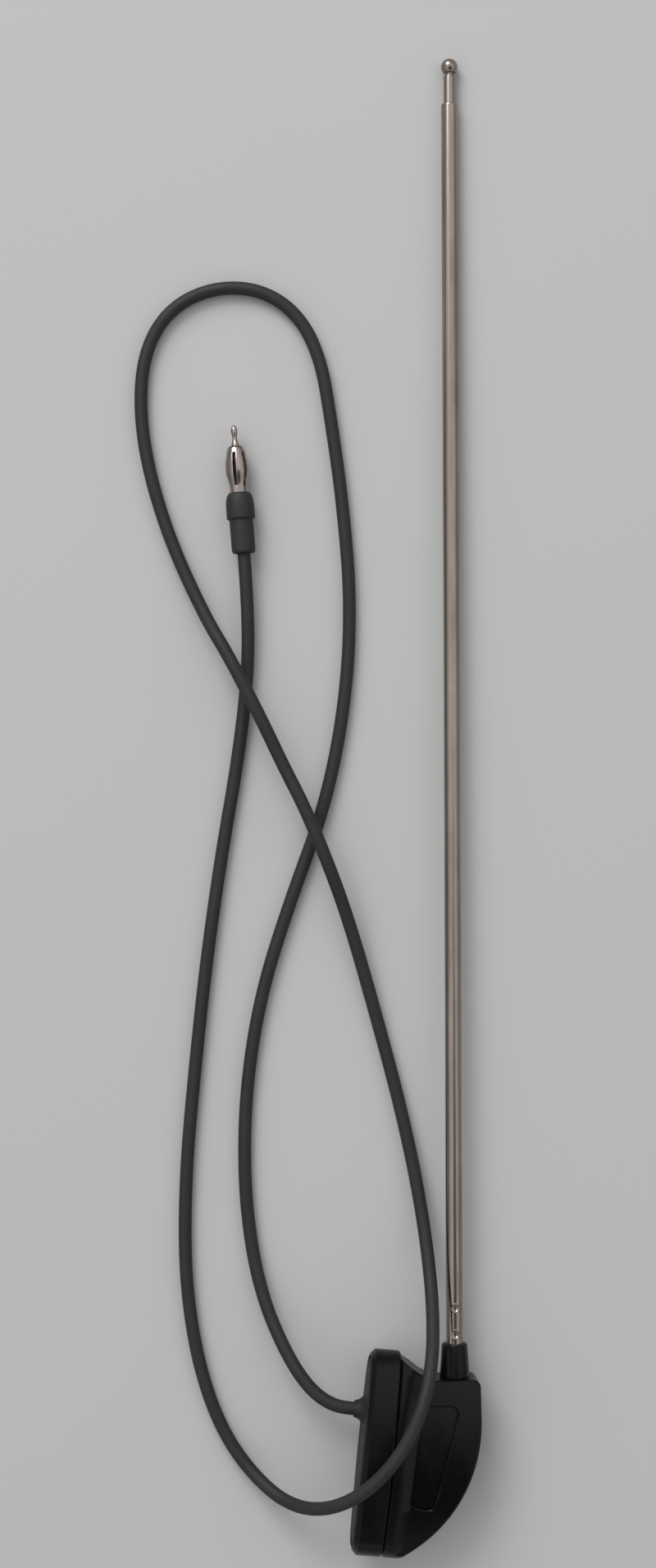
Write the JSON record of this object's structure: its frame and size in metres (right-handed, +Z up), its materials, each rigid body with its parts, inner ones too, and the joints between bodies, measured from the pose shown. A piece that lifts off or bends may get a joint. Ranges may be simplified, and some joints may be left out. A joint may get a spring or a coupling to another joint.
{
  "type": "truck antenna",
  "caption": "Telescopic chrome mast on a black oval side-mount base with a swivelling holder, a rubber lead and a slotted radio plug.",
  "frame": {"origin": "on the table under the middle of the antenna's own box, the lead and its plug not counted", "axes": "+Y along the mast from the base to the tip ball, +Z up from the table the antenna lies on, +X away from the mounting face"},
  "size_m": [0.1396, 0.6028, 0.0412],
  "materials": {
    "moulding": "black moulded plastic, semi-gloss",
    "gasket_rubber": "moulded black rubber",
    "lead_sheath": "matte dark grey sheath",
    "boot_rubber": "matte dark grey moulded rubber",
    "nickel_plate": "nickel plate",
    "dark_insulator": "dark red-brown plastic",
    "mast_chrome": "drawn tube, chrome plate",
    "brass": "turned brass",
    "steel": "zinc plate",
    "fibre": "pressed fibre",
    "nylon": "natural nylon"
  },
  "bodies": {
    "base": {"base_housing": "moulding", "mounting_gasket": "gasket_rubber", "cable_gland": "gasket_rubber", "pivot_sleeve": "brass", "friction_disc": "fibre", "spring_washer": "steel", "pivot_nut": "steel", "pivot_insulator": "nylon", "contact_pin": "brass", "core_lead": "brass", "antenna_cable": "lead_sheath", "plug_boot": "boot_rubber", "plug_barrel": "nickel_plate", "plug_insulator": "dark_insulator", "plug_pin": "nickel_plate"},
    "holder": {"mast_holder": "moulding", "access_cover": "moulding", "mast_insulator": "nylon", "mast_collar": "moulding", "mast_foot": "brass", "contact_spring": "brass", "foot_nut": "steel", "outer_tube": "mast_chrome", "stop_pin": "steel"},
    "middle_stage": {"middle_tube": "mast_chrome", "middle_sleeve": "brass"},
    "top_stage": {"inner_rod": "mast_chrome", "rod_sleeve": "brass", "tip_ball": "mast_chrome"}
  },
  "joints": [
    {"name": "holder_swivel", "type": "hinge", "parent": "base", "child": "holder", "pos_m": [-0.008, -0.23912, 0.01387], "axis": [0.9923, -0.1024, -0.0694], "range_deg": [0, 90]},
    {"name": "middle_slide", "type": "slide", "parent": "holder", "child": "middle_stage", "axis": [-0.0033, 0.9999, -0.0163], "range_m": [-0.009, 0.445]},
    {"name": "top_slide", "type": "slide", "parent": "middle_stage", "child": "top_stage", "axis": [-0.0033, 0.9999, -0.0163], "range_m": [-0.001, 0.445]}
  ]
}
